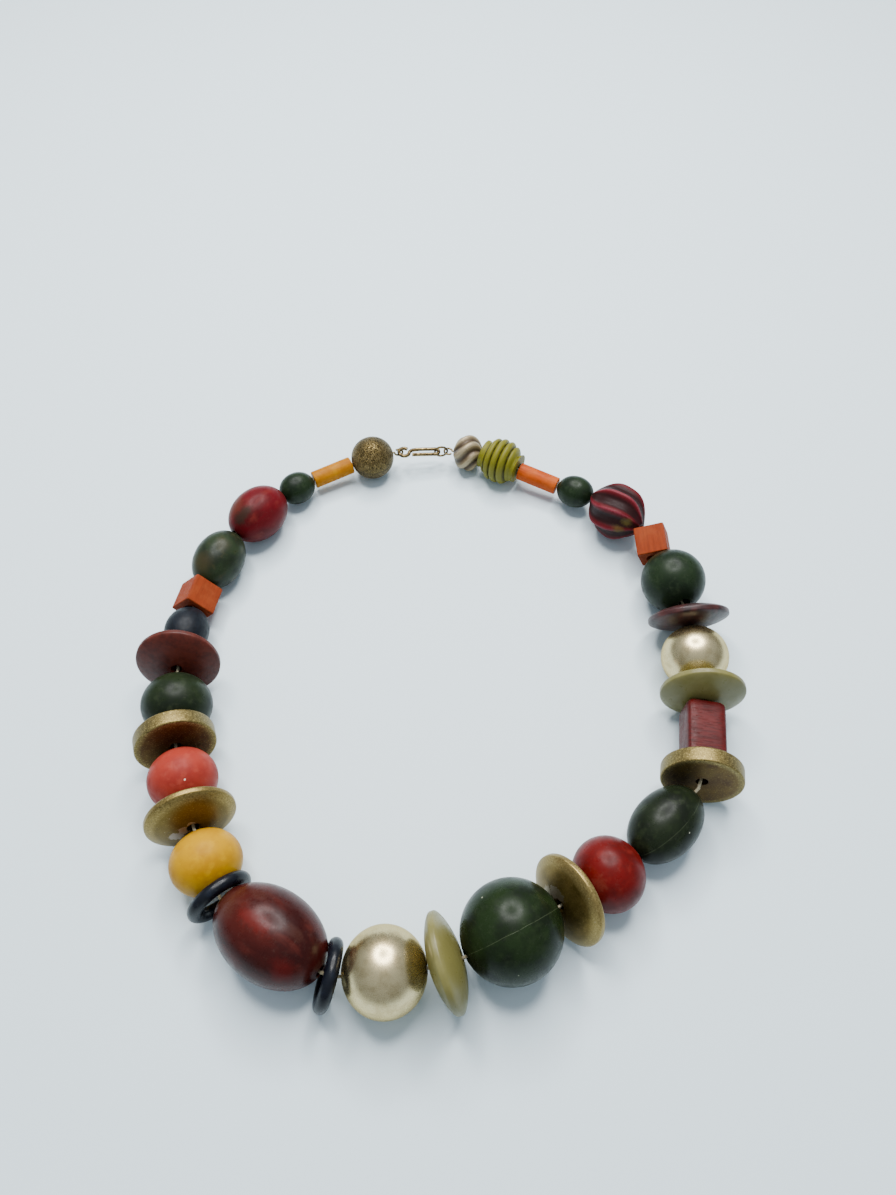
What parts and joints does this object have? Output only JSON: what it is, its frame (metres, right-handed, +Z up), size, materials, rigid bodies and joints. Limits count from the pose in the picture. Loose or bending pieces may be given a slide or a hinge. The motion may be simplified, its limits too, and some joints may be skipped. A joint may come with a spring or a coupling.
{
  "type": "beaded necklace",
  "caption": "Chunky necklace of large mixed resin, painted wood and plated beads on a thread, closed by a hook and ring, lying as a loop on a table.",
  "frame": {"origin": "on the table under the middle of the necklace's bounding box", "axes": "+Z up from the table, +Y towards the clasp, +X to the right seen from above with the clasp at the back"},
  "size_m": [0.1786, 0.1934, 0.0258],
  "materials": {
    "amber": "satin yellow-orange resin",
    "black": "polished blue-black resin",
    "brass": "antique brass, stamped",
    "bronze": "darkened bronze wire",
    "brown": "red-brown painted wood, matt",
    "coral": "satin coral resin",
    "cream": "cream stringing cord",
    "crimson": "polished red resin, marbled brown",
    "gold": "worn gold paint",
    "green": "polished dark green resin, faintly clouded",
    "lime": "yellow-green painted wood, turned",
    "maroon": "carved wood, dark with red ribs",
    "navy": "navy painted wood, matt",
    "olive": "pale olive resin, satin",
    "orange": "orange painted wood, satin",
    "pewter": "pale antique bronze",
    "red": "red resin, blotched",
    "scarlet": "red painted wood, grain showing",
    "silver": "warm silver plating, rubbed",
    "umber": "dark brown wood, streaked",
    "yellow": "polished yellow resin"
  },
  "bodies": {
    "root": {"amber_tube": "amber", "beehive_bead": "lime", "black_ring_left": "black", "black_ring_right": "black", "brown_saucer": "brown", "clasp_ring": "bronze", "coral_ball": "coral", "dark_saucer": "umber", "eye_left": "bronze", "eye_right": "bronze", "filigree_ball": "brass", "fluted_bead": "pewter", "gold_drum_left": "gold", "gold_drum_right": "gold", "gold_saucer_left": "gold", "gold_saucer_right": "gold", "green_ball_left": "green", "green_ball_right": "green", "green_oval_left": "green", "green_oval_right": "green", "hook": "bronze", "large_green_ball": "green", "large_red_oval": "crimson", "navy_barrel": "navy", "olive_saucer_front": "olive", "olive_saucer_right": "olive", "orange_cube_left": "orange", "orange_cube_right": "orange", "orange_tube": "orange", "red_ball": "red", "red_block": "scarlet", "red_marbled_oval": "crimson", "ribbed_lantern": "maroon", "silver_ball_front": "silver", "silver_ball_right": "silver", "small_green_oval_left": "green", "small_green_oval_right": "green", "thread": "cream", "yellow_ball": "yellow"}
  },
  "joints": []
}
